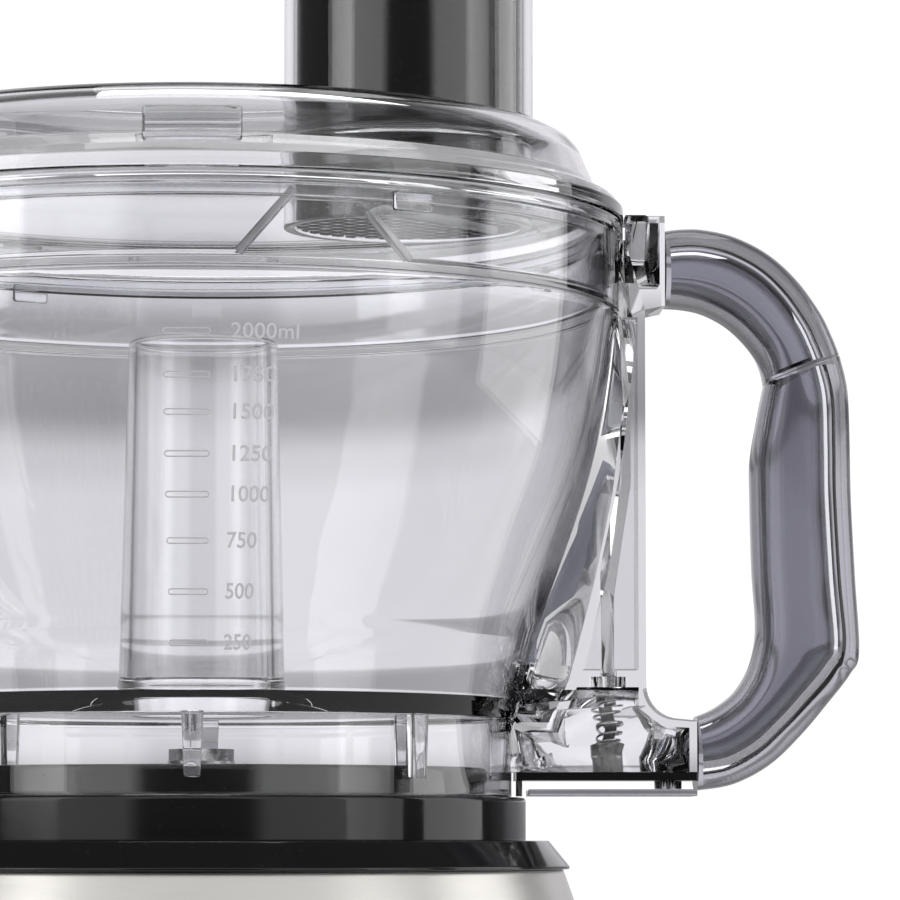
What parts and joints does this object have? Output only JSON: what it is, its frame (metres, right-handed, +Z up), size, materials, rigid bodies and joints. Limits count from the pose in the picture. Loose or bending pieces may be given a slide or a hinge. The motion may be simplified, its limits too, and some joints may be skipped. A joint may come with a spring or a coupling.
{
  "type": "food processor",
  "caption": "Countertop food processor: clear bowl with smoke-grey handle, domed lid with feed tube and pusher, black collar and flared brushed-steel motor base.",
  "frame": {"origin": "on the table, under the output spindle's axis", "axes": "+Z up, +X towards the bowl handle, -Y towards the user and the control dial"},
  "size_m": [0.2746, 0.25, 0.3993],
  "materials": {
    "clear_bowl": "clear, glossy plastic",
    "clear_lid": "clear, glossy plastic",
    "smoke_handle": "smoke-grey translucent plastic, glossy",
    "black_gloss": "gloss black plastic",
    "black_matte": "fine satin black plastic",
    "brushed_steel": "brushed round the housing",
    "machined_steel": "turned, bright",
    "spring_steel": "bright drawn wire",
    "zinc_screw": "zinc plated",
    "rubber_black": "matt rubber",
    "rubber_grey": "matt silicone rubber",
    "pointer_white": "white paint fill",
    "laminations": "varnished steel sheets",
    "copper": "enamelled copper",
    "carbon": "pressed carbon",
    "bronze": "sintered bronze",
    "board": "green laminate",
    "nylon": "natural nylon",
    "zinc_plate": "zinc-plated sheet"
  },
  "bodies": {
    "base": {"base_tray": "black_matte", "foot_pads": "rubber_black", "motor_housing": "brushed_steel", "top_deck": "black_gloss", "bowl_seat": "black_gloss", "control_panel": "black_gloss", "cord_inlet": "rubber_black", "rotary_switch": "black_matte", "circuit_board": "board", "motor_plate": "zinc_plate", "stator_core": "laminations", "field_coils": "copper", "motor_frames": "zinc_plate", "motor_bearings": "bronze", "brush_holders": "black_matte", "carbon_brushes": "carbon", "drive_belt": "rubber_black", "spindle_housing": "nylon", "spindle_bushes": "bronze", "spindle_seal": "rubber_black", "plate_screws": "zinc_screw", "deck_screws": "zinc_screw", "safety_switch": "black_matte", "safety_button": "rubber_black"},
    "dial": {"speed_dial": "black_gloss", "dial_pointer": "pointer_white", "dial_shaft": "nylon"},
    "rotor": {"rotor_shaft": "machined_steel", "armature": "laminations", "commutator": "copper", "cooling_fan": "nylon", "motor_pulley": "machined_steel"},
    "spindle": {"output_spindle": "machined_steel", "spindle_pulley": "nylon", "spindle_clips": "spring_steel", "drive_coupling": "machined_steel"},
    "seat_ring": {"glide_ring": "nylon"},
    "bowl": {"bowl_shell": "clear_bowl", "bowl_floor": "clear_bowl", "centre_column": "clear_bowl", "handle_bracket": "clear_bowl", "handle_upper": "smoke_handle", "handle_grip": "smoke_handle", "foot_cover": "black_gloss", "foot_screw": "zinc_screw", "spring_cup": "nylon", "interlock_spring": "spring_steel"},
    "safety_rod": {"interlock_rod": "nylon", "interlock_block": "black_gloss"},
    "seal_ring": {"lid_seal": "rubber_grey"},
    "lid": {"lid_cover": "clear_lid", "lid_skirt": "clear_lid", "feed_tube": "clear_lid"},
    "food_pusher": {"pusher": "black_gloss", "pusher_cap": "black_gloss"}
  },
  "joints": [
    {"name": "dial_turn", "type": "hinge", "parent": "base", "child": "dial", "pos_m": [0, -0.125, 0.07], "axis": [0, 1, 0], "range_deg": [-45, 135]},
    {"name": "rotor_spin", "type": "hinge", "parent": "base", "child": "rotor", "pos_m": [-0.056, 0, 0.06], "axis": [0, 0, 1], "continuous": true},
    {"name": "spindle_spin", "type": "hinge", "parent": "base", "child": "spindle", "pos_m": [0, 0, 0.06], "axis": [0, 0, 1], "continuous": true},
    {"name": "bowl_turn", "type": "hinge", "parent": "base", "child": "seat_ring", "pos_m": [0, 0, 0.1485], "axis": [0, 0, 1], "range_deg": [0, 25]},
    {"name": "bowl_lift", "type": "slide", "parent": "seat_ring", "child": "bowl", "axis": [0, 0, 1], "range_m": [0, 0.06]},
    {"name": "lid_lift", "type": "slide", "parent": "bowl", "child": "seal_ring", "axis": [0, 0, 1], "range_m": [0, 0.12]},
    {"name": "lid_turn", "type": "hinge", "parent": "seal_ring", "child": "lid", "pos_m": [0, 0, 0.292], "axis": [0, 0, 1], "range_deg": [0, 15]},
    {"name": "pusher_slide", "type": "slide", "parent": "lid", "child": "food_pusher", "axis": [0, 0, 1], "range_m": [0, 0.11]},
    {"name": "rod_rise", "type": "slide", "parent": "bowl", "child": "safety_rod", "axis": [0, 0, 1], "range_m": [0, 0.0025], "deforming": ["interlock_spring"]}
  ],
  "couplings": [
    {"joint": "spindle_spin", "follows": "rotor_spin", "ratio": 0.25},
    {"joint": "rod_rise", "follows": "lid_turn", "m_per_rad": 0.0095}
  ]
}
